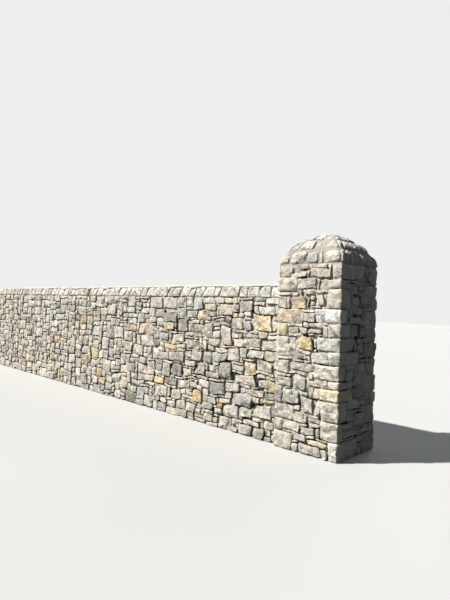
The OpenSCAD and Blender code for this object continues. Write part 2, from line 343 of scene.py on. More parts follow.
stoneMaterial = makeLimestone("limestone", limestone)
mortar = makeMortar("lime_mortar", limeMortar)
paleMortar = makeMortar("pale_mortar", freshMortar)
# these imported mortar surfaces carry no fill share, so they take the full painted shade of a raked-out
# joint
for name in ["wall_bay_%d" % bay for bay in bays] + ["pier_core", "dome_bedding"]:
    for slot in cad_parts[name].material_slots:
        slot.material = mortar
print("materials ready")


# Pieces made from a list of meshes

sharpAngle = 0.5         # radians between two faces from which their edge stays sharp
triangleCounts = []


def stoneLayers(bm):
    # the colour of each stone, and a shift that gives it a grain of its own
    tone = bm.verts.layers.float_color.new("stoneTone")
    shift = bm.verts.layers.float_vector.new("stoneShift")
    return tone, shift


def finishPiece(name, meshes, material):
    whole = bmesh.new()
    stoneLayers(whole)
    for part in meshes:
        whole.from_mesh(part)
        bpy.data.meshes.remove(part)
    for face in whole.faces:
        face.smooth = True
    for edge in whole.edges:
        edge.smooth = edge.calc_face_angle(0) < sharpAngle
    mesh = bpy.data.meshes.new(name)
    whole.to_mesh(mesh)
    whole.free()
    piece = bpy.data.objects.new(name, mesh)
    bpy.context.scene.collection.objects.link(piece)
    mesh.materials.append(material)
    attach(piece, "root")
    triangles = sum(len(polygon.vertices) - 2 for polygon in mesh.polygons)
    triangleCounts.append(triangles)
    print("  piece", name, triangles, "triangles")
    return piece


def storeMesh(bm):
    mesh = bpy.data.meshes.new("part")
    bmesh.ops.recalc_face_normals(bm, faces=bm.faces[:])
    bm.to_mesh(mesh)
    bm.free()
    return mesh


def randomShift(dice):
    return Vector([dice.uniform(-40, 40) for _ in range(3)])


def extent(verts):
    low = Vector([min(vertex.co[axis] for vertex in verts) for axis in range(3)])
    high = Vector([max(vertex.co[axis] for vertex in verts) for axis in range(3)])
    return low, high


def cutAcross(bm, place, direction):
    bmesh.ops.bisect_plane(bm, geom=bm.verts[:] + bm.edges[:] + bm.faces[:], dist=0.2 * mm,
                           plane_co=place, plane_no=direction)


def layered(spot, layers):
    # noise on noise, each layer a scale and a strength
    total = 0
    for scale, strength in layers:
        total += strength * noise.noise(spot * scale)
    return total


# Faces of the masonry: a corner at ground level, a direction along the face and its extent

# No joint is quite straight: the whole face wanders, in long waves and in short ones
wander = {"waves": 3.3, "reach": 34 * mm, "shorter": 2.7, "shortReach": 16 * mm, "upright": 0.8,
          "ease": 0.07}


def clearance(face, along, high):
    # distance to the rim of the face and to the corner stones on it
    room = min(along - face["start"], face["end"] - along, high - face["base"], face["top"] - high)
    for left, right, low, top in face["fixed"]:
        room = min(room, max(left - along, along - right, low - high, high - top))
    return room


def flatSpot(face, along, high, depth):
    # it wanders less beside the corners
    ease = min(1, max(0, clearance(face, along, high) / wander["ease"]))
    spot = Vector((along * wander["waves"] + face["seed"], high * wander["waves"], 0))
    sway = noise.noise_vector(spot) * wander["reach"]
    sway += noise.noise_vector(spot * wander["shorter"]) * wander["shortReach"]
    along += ease * sway.x
    high += ease * sway.y * wander["upright"]
    return face["corner"] + face["along"] * along + up * max(mm, high) + face["out"] * depth


def masonryFace(corner, along, start, end, top, base=0.0, joint=13 * mm, fill=0.48):
    # `fill` is how near flush the pointing comes, and so how light its painted shade is, `joint` how wide
    # the joints are
    along = Vector(along)
    return {"corner": Vector(corner), "along": along, "out": along.cross(up), "spot": flatSpot,
            "start": start, "end": end, "base": base, "top": top, "seed": 7 * start + 3 * end,
            "joint": joint, "fill": fill}


faces = {
    "pierFront": masonryFace((pierRight, -pierFace, 0), (1, 0, 0), -pierSpan, 0, pierTop,
                             joint=15 * mm, fill=0.62),
    "pierEnd": masonryFace((pierRight, -pierFace, 0), (0, 1, 0), 0, 2 * pierFace, pierTop),
    "pierBack": masonryFace((pierRight, pierFace, 0), (-1, 0, 0), 0, pierSpan, pierTop),
    "pierLeft": masonryFace((pierLeft, pierFace, 0), (0, -1, 0), 0, 2 * pierFace, pierTop, copeTop),
    "wallFront": masonryFace((pierRight, -wallFace, 0), (1, 0, 0), -pierSpan - wallSpan, -pierSpan, wallTop),
    "wallBack": masonryFace((pierRight, wallFace, 0), (-1, 0, 0), pierSpan, pierSpan + wallSpan, wallTop),
    "wallEnd": masonryFace((wallLeft, wallFace, 0), (0, -1, 0), 0, 2 * wallFace, wallTop),
}


def looseSolids(bm):
    # the separate solids of a mesh, as lists of vertices
    left = set(bm.verts)
    solids = []
    while left:
        reached = [left.pop()]
        for vertex in reached:
            for edge in vertex.link_edges:
                other = edge.other_vert(vertex)
                if other in left:
                    left.remove(other)
                    reached.append(other)
        solids.append(reached)
    return solids


def cadCopy(node):
    bm = bmesh.new()
    bm.from_mesh(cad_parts[node].data)
    bmesh.ops.remove_doubles(bm, verts=bm.verts[:], dist=0.05 * mm)
    return bm


def quoinRects(face):
    # footprints on a face of the corner stones that show there
    behind = -2 * mm
    rects = []
    for node in [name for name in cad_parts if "quoins" in name]:
        bm = cadCopy(node)
        for solid in looseSolids(bm):
            places = [vertex.co - face["corner"] for vertex in solid]
            if max(place.dot(face["out"]) for place in places) < behind:
                continue
            along = [place.dot(face["along"]) for place in places]
            rise = [place.z for place in places]
            rects.append((min(along), max(along), min(rise), max(rise)))
        bm.free()
    return [rect for rect in rects if rect[1] > face["start"] and rect[0] < face["end"]]


for face in faces.values():
    face["fixed"] = quoinRects(face)


# Random rubble laid from the bottom up, on cells of one centimetre

rubbleSizes = [
    {"share": 27, "long": (19, 33), "high": (13, 20)},
    {"share": 38, "long": (14, 25), "high": (9, 15)},
    {"share": 16, "long": (7, 14), "high": (6, 11)},
    {"share": 19, "long": (12, 28), "high": (4, 6)},
]
rubbleRules = {
    "leastWidth": 4,
    "leastHeight": 3,
    "longest": 34,           # the longest gap that one stone closes
    "tallest": 20,
    "short": 7,              # a shorter stone than this is kept low
    "shortRise": (4, 12),
    "nearLevel": 3,          # tops this close are often brought level
    "levelOdds": 0.65,
    "growth": 3,             # how far stones widen into what is left empty
    "slant": 0.07,           # of the sides, as a share of the height
    "gap": (0.5, 1.4),       # as a share of half a joint
    "quoinGap": 3 * mm,
}


def drawSize(room, dice):
    size = dice.choices(rubbleSizes, weights=[kind["share"] for kind in rubbleSizes])[0]
    length = dice.randint(*size["long"])
    rise = dice.randint(*size["high"])
    if room - length < rubbleRules["leastWidth"] + 2:
        length = room if room <= rubbleRules["longest"] else room // 2
    if length < rubbleRules["short"]:
        rise = min(rise, dice.randint(*rubbleRules["shortRise"]))
    return min(length, room), rise


def layRubble(face, taken, dice):
    # `taken` are the rectangles of the stones that are already there
    leastWidth = rubbleRules["leastWidth"]
    leastHeight = rubbleRules["leastHeight"]
    first = round(face["start"] / cm)
    columns = round(face["end"] / cm) - first
    ground = round(face["base"] / cm)
    top = round(face["top"] / cm)
    blocks = [[] for _ in range(columns)]
    for left, right, low, high in taken:
        for column in range(max(0, round(left / cm) - first), min(columns, round(right / cm) - first)):
            blocks[column].append((round(low / cm), round(high / cm)))

    def settle(column, level):
        # lifts a column past a block that starts too close above it
        moved = True
        while moved:
            moved = False
            for low, high in blocks[column]:
                if low - leastHeight < level < high:
                    level = high
                    moved = True
        return level

    def ceiling(column, level):
        return min([low for low, high in blocks[column] if low >= level] + [top])

    levels = [settle(column, ground) for column in range(columns)]
    laid = []
    while min(levels) <= top - leastHeight:
        # the next stone goes into the lowest place
        base = min(levels)
        start = levels.index(base)
        end = start
        while end < columns and levels[end] - base <= 1 and ceiling(end, levels[end]) - base >= leastHeight:
            end += 1
        room = end - start
        sides = [levels[side] for side in (start - 1, end) if 0 <= side < columns and levels[side] > base]
        if room < leastWidth:
            fill = min(sides + [base + leastHeight + 2, ceiling(start, base)])
            for column in range(start, max(end, start + 1)):
                levels[column] = settle(column, max(fill, base + 1))
            continue
        length, rise = drawSize(room, dice)
        left = end - length if dice.random() < 0.5 else start
        span = range(left, left + length)
        bed = max(levels[column] for column in span)
        headroom = min(ceiling(column, levels[column]) for column in span) - bed
        if headroom < leastHeight:
            for column in span:
                levels[column] = settle(column, max(bed, base + 1))
            continue
        for side in sides:
            level = abs(side - bed - rise) <= rubbleRules["nearLevel"] and side - bed >= leastHeight
            if level and dice.random() < rubbleRules["levelOdds"]:
                rise = side - bed
        if headroom - rise < leastHeight:
            rise = headroom if headroom <= rubbleRules["tallest"] else headroom // 2
        rise = max(leastHeight, min(rise, headroom))
        laid.append(((left + first) * cm, (left + length + first) * cm, bed * cm, (bed + rise) * cm))
        for column in span:
            levels[column] = settle(column, bed + rise)
    return laid


# One face stone: a grid with a narrow strip along its arris, pushed out of the wall

pierLook = {
    "cell": 14 * mm,
    "strip": 4 * mm,
    "stripShare": 0.22,          # the most that the strip takes of a small stone
    "sink": 32 * mm,             # how far the sides run back
    "taper": 0.96,
    "paintedSideShade": 0.06,           # painted shade darkens the sides, as in the joints' shadow
    "drop": 4 * mm,              # of the arris
    "dropShare": 0.8,
    "dropNoises": ((30, 0.5),),
    "bulge": 3 * mm,
    "bulgeSpread": (0.2, 1.2),
    "proud": (1 * mm, 10 * mm),
    "jut": (12 * mm, 24 * mm),   # one stone in three stands out this far
    "tilt": 14 * mm,
    "tiltSpread": ((-0.6, 1), (-1, 0.5)),
    "rough": 4 * mm,
    "noises": ((12, 1), (27, 0.7), (70, 0.3)),
    "facet": 13 * mm,
    "facetSize": 75 * mm,
    "fullRelief": 100 * mm,      # a smaller stone has less room for relief
    "leastRelief": 0.35,
    "wobble": 6 * mm,            # of the outline
    "waves": ((17, 1), (45, 0.4)),
    "skew": 0.06,                # of the corners, as a share of the sides
    "leastSkew": (3 * mm, 2 * mm),
    "skewSpread": (-1, 0.35),
    "corner": (3 * mm, 22 * mm),
    "roundest": 0.46,
    "chips": (0, 1, 1, 2, 3),
    "chipReach": (0.0, 0.8),
    "chipSlope": (0.12, 0.5),
    "shade": 1,
}
wallLook = dict(pierLook, cell=18 * mm, facet=9 * mm)
farLook = dict(pierLook, cell=25 * mm, strip=6 * mm, facet=8 * mm)
backLook = dict(pierLook, cell=38 * mm, strip=10 * mm)

# Split faces are flat: past `from`, what stands furthest out is held back
heldBack = {"from": 14 * mm, "faceStones": 0.36, "solids": 0.4, "deepest": -11 * mm}


def holdBack(depth, share):
    return min(depth, heldBack["from"] + (depth - heldBack["from"]) * share)


def splitFace(spot, size):
    # height of a split surface: flat facets about `size` wide, each leaning its own way
    apart = 5.3          # keeps the leans of neighbouring facets unlike
    steepness = 0.8
    spot = spot / size
    nearest = noise.voronoi(spot)[1][0]
    return (spot - nearest).dot(noise.cell_vector(nearest * apart)) * steepness


def gridLines(length, look):
    count = max(1, round(length / look["cell"]))
    strip = min(look["strip"], length * look["stripShare"])
    inner = [strip + (length - 2 * strip) * step / count for step in range(count + 1)]
    return [0.0] + inner + [length]


def roundedCorner(x, z, halfLong, halfHigh, radius):
    pastX = abs(x) - (halfLong - radius)
    pastZ = abs(z) - (halfHigh - radius)
    if pastX <= 0 or pastZ <= 0:
        return x, z
    reach = max(pastX, pastZ) / math.hypot(pastX, pastZ)
    return (math.copysign(halfLong - radius + pastX * reach, x),
            math.copysign(halfHigh - radius + pastZ * reach, z))


def drawStone(stone, look, dice):
    # all that is left to chance about one stone
    left, right, low, high, toneName, *slants = stone
    wide = right - left
    tall = high - low
    narrow = min(wide, tall)
    drawn = {"wide": wide, "tall": tall, "centre": ((left + right) / 2, (low + high) / 2), "slants": slants}
    drawn["colour"] = tintedTone(toneName, dice, look["shade"])
    drawn["away"] = randomShift(dice)
    drawn["radii"] = [min(look["roundest"] * narrow, dice.uniform(*look["corner"])) for _ in range(4)]
    leastX, leastZ = look["leastSkew"]
    drawn["skews"] = [(dice.uniform(*look["skewSpread"]) * (leastX + look["skew"] * wide),
                       dice.uniform(*look["skewSpread"]) * (leastZ + look["skew"] * tall)) for _ in range(4)]
    drawn["proud"] = dice.uniform(*look[dice.choice(("proud", "proud", "jut"))])
    drawn["tilt"] = [dice.uniform(*spread) * look["tilt"] for spread in look["tiltSpread"]]
    drawn["bulge"] = look["bulge"] * dice.uniform(*look["bulgeSpread"])
    drawn["relief"] = min(1, max(look["leastRelief"], narrow / look["fullRelief"]))
    drawn["chips"] = []
    for _ in range(dice.choice(look["chips"])):
        turn = dice.uniform(0, 2 * math.pi)
        reach = dice.uniform(*look["chipReach"])
        drawn["chips"].append((math.cos(turn), math.sin(turn), reach, dice.uniform(*look["chipSlope"])))
    return drawn


def outlinePlace(drawn, x, z):
    # where a point of the plain rectangle comes to lie on the stone
    shareX = x / drawn["wide"]
    shareZ = z / drawn["tall"]
    corner = (1 if x > 0 else 0) + (2 if z > 0 else 0)
    x, z = roundedCorner(x, z, drawn["wide"] / 2, drawn["tall"] / 2, drawn["radii"][corner])
    # each corner of the outline is pulled in or out
    for index, (pullX, pullZ) in enumerate(drawn["skews"]):
        sideX = 1 if index & 1 else -1
        sideZ = 1 if index & 2 else -1
        weight = (0.5 + shareX * sideX) * (0.5 + shareZ * sideZ)
        x += weight * pullX * sideX
        z += weight * pullZ * sideZ
    leftTop, rightTop = drawn["slants"]
    x += leftTop * (0.5 - shareX) * (0.5 + shareZ) + rightTop * (0.5 + shareX) * (0.5 + shareZ)
    return x, z


def faceDepth(drawn, look, shareX, shareZ, x, z, spot):
    tiltX, tiltZ = drawn["tilt"]
    swell = (1 - (2 * shareX) ** 4) * (1 - (2 * shareZ) ** 4)
    depth = drawn["proud"] + drawn["relief"] * (drawn["bulge"] * swell + tiltX * shareX + tiltZ * shareZ)
    for chipX, chipZ, reach, slope in drawn["chips"]:
        past = chipX * x + chipZ * z - reach * (abs(chipX) * drawn["wide"] + abs(chipZ) * drawn["tall"]) / 2
        if past > 0:
            depth -= past * slope
    rough = look["rough"] * layered(spot, look["noises"])
    return depth + drawn["relief"] * (rough + look["facet"] * splitFace(spot, look["facetSize"]))


def closeStone(bm, layers, face, drawn, look, border):
    # the sides run back into the mortar
    tone, shift = layers
    # the sides take a painted shade, far darker than the stone's face
    paintedShadeColour = [part * look["paintedSideShade"] for part in drawn["colour"][:3]]
    rim = list({edge for vertex in border for edge in vertex.link_edges if len(edge.link_faces) == 1})
    made = bmesh.ops.extrude_edge_only(bm, edges=rim)["geom"]
    backEdges = []
    for item in made:
        if isinstance(item, bmesh.types.BMEdge) and len(item.link_faces) == 1:
            backEdges.append(item)
        if isinstance(item, bmesh.types.BMVert):
            ends = [edge.other_vert(item) for edge in item.link_edges]
            x, z = next(border[end] for end in ends if end in border)
            along = drawn["centre"][0] + x * look["taper"]
            item.co = face["spot"](face, along, drawn["centre"][1] + z * look["taper"], -look["sink"])
            item[tone] = (*paintedShadeColour, 0)
            item[shift] = drawn["away"]
    bmesh.ops.contextual_create(bm, geom=backEdges)


def addFaceStone(bm, layers, face, stone, look, dice):
    tone, shift = layers
    drawn = drawStone(stone, look, dice)
    linesX = gridLines(drawn["wide"], look)
    linesZ = gridLines(drawn["tall"], look)
    lastX = len(linesX) - 1
    lastZ = len(linesZ) - 1
    grid = bmesh.ops.create_grid(bm, x_segments=lastX, y_segments=lastZ, size=0.5)
    border = {}
    for vertex in grid["verts"]:
        column = round((vertex.co.x + 0.5) * lastX)
        row = round((vertex.co.y + 0.5) * lastZ)
        flatX = linesX[column] - drawn["wide"] / 2
        flatZ = linesZ[row] - drawn["tall"] / 2
        x, z = outlinePlace(drawn, flatX, flatZ)
        spot = Vector((x, z, 0)) + drawn["away"]
        for waves, share in look["waves"]:
            sway = noise.noise_vector(spot * waves) * share * look["wobble"]
            x += sway.x
            z += sway.y
        depth = faceDepth(drawn, look, flatX / drawn["wide"], flatZ / drawn["tall"], x, z, spot)
        if column in (0, lastX) or row in (0, lastZ):
            depth -= look["drop"] * (look["dropShare"] + layered(spot, look["dropNoises"]))
            border[vertex] = (x, z)
        depth = max(heldBack["deepest"], holdBack(depth, heldBack["faceStones"]))
        vertex.co = face["spot"](face, drawn["centre"][0] + x, drawn["centre"][1] + z, depth)
        vertex[tone] = drawn["colour"]
        vertex[shift] = drawn["away"]
    closeStone(bm, layers, face, drawn, look, border)


def stoneMeshes(face, stones, look, dice, batch=16):
    # a few stones to a mesh, because one large mesh is slow to build
    meshes = []
    for start in range(0, len(stones), batch):
        bm = bmesh.new()
        layers = stoneLayers(bm)
        for stone in stones[start:start + batch]:
            addFaceStone(bm, layers, face, stone, look, dice)
        meshes.append(storeMesh(bm))
    return meshes


def scheduled(rows):
    # centimetres to metres, with the two optional slants of the sides
    stones = []
    for left, right, low, high, tone, *slants in rows:
        leftTop, rightTop = slants if slants else (0, 0)
        stones.append((left * cm, right * cm, low * cm, high * cm, tone, leftTop * cm, rightTop * cm))
    return stones


def growRects(face, rects, fixed, dice):
    # stones widen, a centimetre at a time, into what is left empty round them
    first = round(face["start"] / cm)
    ground = round(face["base"] / cm)
    columns = round(face["end"] / cm) - first
    rows = round(face["top"] / cm) - ground
    used = [[False] * rows for _ in range(columns)]
    cells = [[round(left / cm) - first, round(right / cm) - first, round(low / cm) - ground,
              round(high / cm) - ground] for left, right, low, high in rects + fixed]
    for left, right, low, high in cells:
        for column in range(max(0, left), min(columns, right)):
            for row in range(max(0, low), min(rows, high)):
                used[column][row] = True

    def nextStrip(rect, side):
        # the row of cells just outside one side: left, right, bottom or top
        left, right, low, high = rect
        if side < 2:
            column = left - 1 if side == 0 else right
            return [(column, row) for row in range(low, high)]
        row = low - 1 if side == 2 else high
        return [(column, row) for column in range(left, right)]

    def isFree(column, row):
        return 0 <= column < columns and 0 <= row < rows and not used[column][row]

    for _ in range(rubbleRules["growth"]):
        order = [(index, side) for index in range(len(rects)) for side in range(4)]
        dice.shuffle(order)
        for index, side in order:
            edge = nextStrip(cells[index], side)
            if all(isFree(column, row) for column, row in edge):
                cells[index][side] += 1 if side in (1, 3) else -1
                for column, row in edge:
                    used[column][row] = True
    return [((left + first) * cm, (right + first) * cm, (low + ground) * cm, (high + ground) * cm)
            for left, right, low, high in cells[:len(rects)]]


def layFace(face, placed, dice):
    # the stones that are given, rubble laid round them, then all of them tightened up
    gap = rubbleRules["quoinGap"]
    fixed = [(left - gap, right + gap, low, high + gap) for left, right, low, high in face["fixed"]]
    rects = [stone[:4] for stone in placed]
    laid = layRubble(face, rects + fixed, dice)
    tones = [stone[4] for stone in placed] + [pickTone(rubbleMix, dice) for _ in laid]
    slants = [stone[5:] for stone in placed]
    for left, right, low, high in laid:
        slants.append([dice.uniform(-1, 1) * rubbleRules["slant"] * (high - low) for _ in range(2)])
    grown = growRects(face, rects + laid, fixed, dice)
    stones = []
    for (left, right, low, high), tone, slant in zip(grown, tones, slants):
        gaps = [face["joint"] / 2 * dice.uniform(*rubbleRules["gap"]) for _ in range(4)]
        stones.append((left + gaps[0], right - gaps[1], low + gaps[2], high - gaps[3], tone, *slant))
    return stones


# Setting out of the stones that stand nearest: left and right from the pier's outer corner,
# bottom and top above the ground, in centimetres

pierFrontRows = [
    (-60, -39, 197, 205, "grey"), (-35, -17, 200, 205, "cream"), (-62, -44, 190, 196, "cream"),
    (-43, -41, 190, 195, "grey"), (-40, -11, 189, 199, "pink"), (-51, -29, 177, 189, "grey"),
    (-61, -51, 171, 175, "pale"), (-46, -31, 171, 175, "pale"), (-67, -64, 158, 170, "grey"),
    (-61, -40, 156, 170, "honey", 3, -4), (-38, -36, 158, 170, "grey"), (-36, -30, 165, 171, "pale"),
    (-29, -17, 160, 173, "pale", 5, -3), (-22, -16, 156, 161, "pale"), (-46, -31, 142, 152, "pale"),
    (-46, -31, 153, 156, "cream"), (-65, -45, 137, 140, "cream"), (-64, -50, 128, 136, "grey"),
    (-49, -38, 128, 136, "grey"), (-36, -20, 137, 141, "pale"), (-36, -21, 130, 135, "grey"),
    (-20, -14, 129, 139, "warm", 1, -2), (-53, -46, 125, 128, "cream"), (-29, -27, 126, 129, "pale"),
    (-52, -31, 112, 127, "gold", 5, -2), (-30, -27, 115, 125, "grey"),
    (-53, -35, 107, 111, "grey"), (-53, -39, 101, 106, "grey"), (-34, -13, 100, 111, "grey"),
    (-60, -30, 88, 98, "grey", 0, 3), (-64, -53, 84, 87, "pale"), (-58, -37, 67, 84, "pale", 2, -2),
    (-35, -21, 75, 81, "cream"), (-20, -14, 75, 81, "pale"), (-35, -31, 62, 73, "pink"),
    (-69, -47, 52, 66, "grey"), (-67, -60, 67, 70, "pale"), (-45, -27, 46, 61, "grey", 2, -2),
    (-26, -22, 44, 60, "pale", 2, 2), (-54, -46, 45, 51, "pale"), (-54, -35, 33, 44, "green"),
    (-34, -21, 36, 40, "grey"), (-34, -22, 31, 35, "pale"), (-69, -46, 22, 32, "warm"),
    (-45, -25, 21, 30, "pale"), (-56, -37, 12, 20, "lilac"), (-36, -25, 18, 21, "pale"),
    (-34, -13, 11, 17, "honey"), (-47, -17, 1, 10, "grey"),
]

pierEndRows = [
    (30, 50, 191, 203, "grey"), (17, 43, 184, 188, "grey"), (45, 66, 180, 188, "mid"),
    (16, 36, 172, 183, "mid"), (22, 40, 162, 171, "grey"), (42, 62, 163, 178, "mid"),
    (15, 42, 142, 150, "warm"), (28, 47, 152, 160, "grey"), (24, 39, 127, 140, "grey"),
    (41, 54, 127, 140, "mid"), (56, 66, 127, 140, "warm"), (36, 40, 113, 121, "cream"),
    (42, 50, 109, 125, "grey"), (31, 66, 76, 88, "grey"), (31, 55, 63, 74, "mid"),
    (18, 41, 50, 61, "cream"), (43, 60, 53, 60, "grey"), (33, 60, 33, 47, "pale"),
    (10, 31, 32, 38, "warm"), (10, 32, 23, 30, "grey"), (34, 49, 22, 31, "mid"),
]

wallFrontRows = [
    (-209, -189, 161, 167, "grey"), (-188, -173, 161, 166, "pale"), (-170, -156, 162, 167, "cream"),
    (-153, -146, 163, 168, "pale"), (-121, -103, 163, 168, "lilac"), (-118, -102, 158, 162, "pale"),
    (-101, -83, 160, 166, "cream"), (-153, -143, 154, 161, "grey"), (-142, -120, 150, 165, "warm"),
    (-111, -88, 149, 158, "grey"), (-180, -154, 144, 160, "warm"), (-185, -182, 145, 158, "grey"),
    (-209, -187, 151, 160, "cream"), (-151, -143, 150, 153, "pale"), (-133, -122, 144, 149, "cream"),
    (-200, -188, 143, 150, "grey"), (-194, -166, 135, 140, "mid"), (-156, -135, 129, 143, "warm"),
    (-133, -122, 140, 143, "grey"), (-133, -122, 129, 138, "lilac"), (-121, -93, 129, 148, "honey"),
    (-187, -174, 130, 134, "pale"), (-187, -175, 125, 129, "grey"), (-173, -154, 107, 130, "warm"),
    (-187, -175, 114, 124, "cream"), (-205, -189, 115, 134, "warm"), (-197, -174, 105, 113, "warm"),
    (-151, -141, 119, 124, "grey"), (-151, -126, 106, 118, "cream"), (-135, -112, 120, 125, "mid"),
    (-111, -99, 120, 127, "green"), (-96, -82, 120, 125, "cream"), (-124, -109, 108, 119, "pale"),
    (-107, -83, 107, 119, "warm"), (-184, -163, 99, 104, "pink"), (-161, -141, 87, 104, "pale"),
    (-140, -126, 93, 105, "mid"), (-125, -101, 94, 105, "grey", 1, 2), (-99, -82, 95, 105, "warm"),
    (-185, -163, 87, 98, "lilac"), (-208, -188, 81, 97, "mid"), (-133, -113, 76, 90, "honey", 2, -1),
    (-112, -86, 80, 93, "warm"), (-186, -174, 80, 85, "pale"), (-173, -154, 63, 85, "mid"),
    (-151, -136, 77, 84, "pale"), (-196, -177, 73, 80, "pink"), (-200, -176, 62, 71, "warm"),
    (-152, -113, 62, 74, "cream", 3, -3), (-112, -86, 76, 80, "pale"), (-111, -97, 71, 75, "pale"),
    (-110, -97, 61, 69, "green"), (-96, -84, 57, 72, "ochre"), (-193, -165, 43, 59, "mid"),
    (-164, -140, 50, 60, "warm"), (-139, -122, 57, 60, "white"), (-139, -132, 50, 55, "pale"),
    (-131, -103, 50, 59, "warm"), (-102, -85, 45, 49, "honey"), (-205, -194, 41, 46, "cream"),
    (-163, -153, 42, 48, "pale"), (-177, -153, 35, 40, "honey"), (-151, -121, 34, 49, "lilac"),
    (-119, -106, 45, 49, "grey"), (-119, -88, 26, 43, "pale", 6, 0), (-206, -181, 30, 40, "green"),
    (-167, -139, 17, 33, "pale"), (-138, -120, 21, 32, "grey"), (-117, -103, 20, 25, "cream"),
    (-101, -84, 14, 24, "warm"), (-132, -107, 13, 19, "cream"), (-178, -169, 26, 33, "brown"),
    (-205, -187, 21, 28, "grey"), (-185, -169, 18, 25, "grey"),
    (-221, -203, 137, 149, "honey", 0, -1), (-229, -211, 151, 167, "lilac"), (-263, -247, 152, 167, "grey"),
    (-241, -222, 140, 150, "green"), (-287, -268, 121, 133, "honey"), (-263, -238, 120, 137, "mid"),
    (-310, -290, 123, 137, "pale"), (-228, -207, 114, 131, "green"), (-303, -279, 103, 115, "lilac"),
    (-273, -245, 105, 117, "pale"), (-243, -217, 96, 111, "warm"), (-289, -264, 93, 100, "honey"),
    (-261, -246, 95, 102, "pale"), (-231, -209, 81, 94, "warm"), (-243, -234, 83, 93, "pink"),
    (-277, -245, 77, 90, "grey"), (-320, -305, 75, 92, "cream"), (-301, -280, 76, 87, "lilac"),
    (-243, -222, 72, 80, "pink"), (-220, -201, 62, 79, "mid", 5, 0), (-270, -247, 57, 74, "dark"),
    (-292, -273, 53, 72, "green"), (-245, -226, 61, 69, "green"), (-311, -294, 58, 69, "lilac"),
    (-247, -216, 55, 59, "brown"), (-258, -231, 40, 53, "cream"), (-229, -216, 43, 51, "pale"),
    (-213, -195, 48, 58, "pale"), (-313, -287, 39, 49, "ochre"), (-285, -261, 42, 52, "mid"),
    (-226, -207, 27, 42, "ochre", 2, -2), (-273, -249, 24, 38, "warm", 5, 0),
    (-308, -287, 22, 37, "pale", 6, 0), (-246, -229, 27, 32, "cream"), (-240, -218, 11, 23, "warm"),
    (-216, -206, 19, 25, "grey"),
]

nearReach = -3.4         # further left than this a stone gets fewer faces
dice = random.Random(2615)
pierFrontStones = layFace(faces["pierFront"], scheduled(pierFrontRows), dice)
pierMeshes = stoneMeshes(faces["pierFront"], pierFrontStones, pierLook, dice)
pierEndStones = layFace(faces["pierEnd"], scheduled(pierEndRows), dice)
pierMeshes += stoneMeshes(faces["pierEnd"], pierEndStones, pierLook, dice)
for name in ("pierBack", "pierLeft"):
    pierMeshes += stoneMeshes(faces[name], layFace(faces[name], [], dice), farLook, dice)
piece = finishPiece("pier_stones", pierMeshes, stoneMaterial)
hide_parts("pier_rubble")


def between(stones, start, end):
    return [stone for stone in stones if start <= (stone[0] + stone[1]) / 2 < end]


wallFrontStones = layFace(faces["wallFront"], scheduled(wallFrontRows), dice)
wallBackStones = layFace(faces["wallBack"], [], dice)
wallEndStones = layFace(faces["wallEnd"], [], dice)
bayLength = wallSpan / len(bays)
for bay in bays:
    # the front counts from the pier to the left, the back from the pier to the right
    right = -pierSpan - (len(bays) - bay) * bayLength
    front = between(wallFrontStones, right - bayLength, right)
    near = [stone for stone in front if stone[0] > nearReach]
    far = [stone for stone in front if stone[0] <= nearReach]
    back = between(wallBackStones, -right, bayLength - right)
    meshes = stoneMeshes(faces["wallFront"], near, wallLook, dice)
    meshes += stoneMeshes(faces["wallFront"], far, farLook, dice)
    meshes += stoneMeshes(faces["wallBack"], back, backLook, dice)
    if bay == 1:
        meshes += stoneMeshes(faces["wallEnd"], wallEndStones, farLook, dice)
    piece = finishPiece("wall_stones_bay_%d" % bay, meshes, stoneMaterial)
    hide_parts("rubble_bay_%d" % bay)
print("rubble laid:", len(pierFrontStones), "on the pier's front,", len(wallFrontStones), "on the wall's")


# Corner, coping and dome stones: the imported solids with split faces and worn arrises

quoinLook = {
    "arris": 13 * mm,
    "segments": 3,
    "flatAngle": 2,          # in degrees: flatter edges go, sharper ones than the next are bevelled
    "sharpAngle": 32,
    "cell": 21 * mm,
    "rough": 6 * mm,
    "noises": ((11, 1), (26, 0.7), (70, 0.3)),
    "facet": 20 * mm,
    "facetSize": 85 * mm,
    "swing": 9 * mm,         # how far the sides bend
    "swingWaves": 8,
    "swingUp": 0.5,          # the share of it that goes up and down
    "loose": 5 * mm,         # how far a stone sits off its place
    "looseUp": 0.3,
    "proud": 3 * mm,
    "bulge": 7 * mm,
    "tilt": 10 * mm,
    "shrinkX": 0,
    "shrinkZ": 2 * mm,
    "top": 0,                # how much the top comes down
    "topRelief": 0.35,
    "lean": 0,
    "leanRun": 1,            # the distance from the pier at which a stone leans fully
    "leastLean": 0.45,
    "leanEase": 0.3,         # from the far end
    "narrow": 0,             # towards the top
    "shade": 1,
    "paintedSkyShade": 0,            # painted shade on what faces up
    "paintedJointShade": 0,               # painted shade on the sides in the upright joints
}
copingLook = dict(quoinLook, arris=10 * mm, segments=2, cell=24 * mm, rough=4 * mm, facet=7 * mm,
                  swing=8 * mm, proud=5 * mm, bulge=5 * mm, tilt=7 * mm, shrinkX=6 * mm,
                  shrinkZ=1 * mm, top=18 * mm, lean=0.28, leanRun=1.9, narrow=0.07, shade=1.07,
                  paintedSkyShade=0.35, paintedJointShade=0.6)


def cutStones(node, look):
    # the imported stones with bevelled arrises, cut finely enough to be roughened
    bm = cadCopy(node)
    layers = stoneLayers(bm)
    flat = math.radians(look["flatAngle"])
    bmesh.ops.dissolve_limit(bm, angle_limit=flat, verts=bm.verts[:], edges=bm.edges[:])
    sharp = [edge for edge in bm.edges if edge.calc_face_angle(0) > math.radians(look["sharpAngle"])]
    bmesh.ops.bevel(bm, geom=sharp, offset=look["arris"], affect="EDGES", segments=look["segments"],
                    profile=0.5, material=-1, clamp_overlap=True)
    low, high = extent(bm.verts)
    for axis in range(3):
        direction = Vector([1 if other == axis else 0 for other in range(3)])
        count = max(1, round((high - low)[axis] / look["cell"]))
        for step in range(1, count):
            cutAcross(bm, low + (high - low) * (step / count), direction)
    bm.normal_update()
    return bm, layers


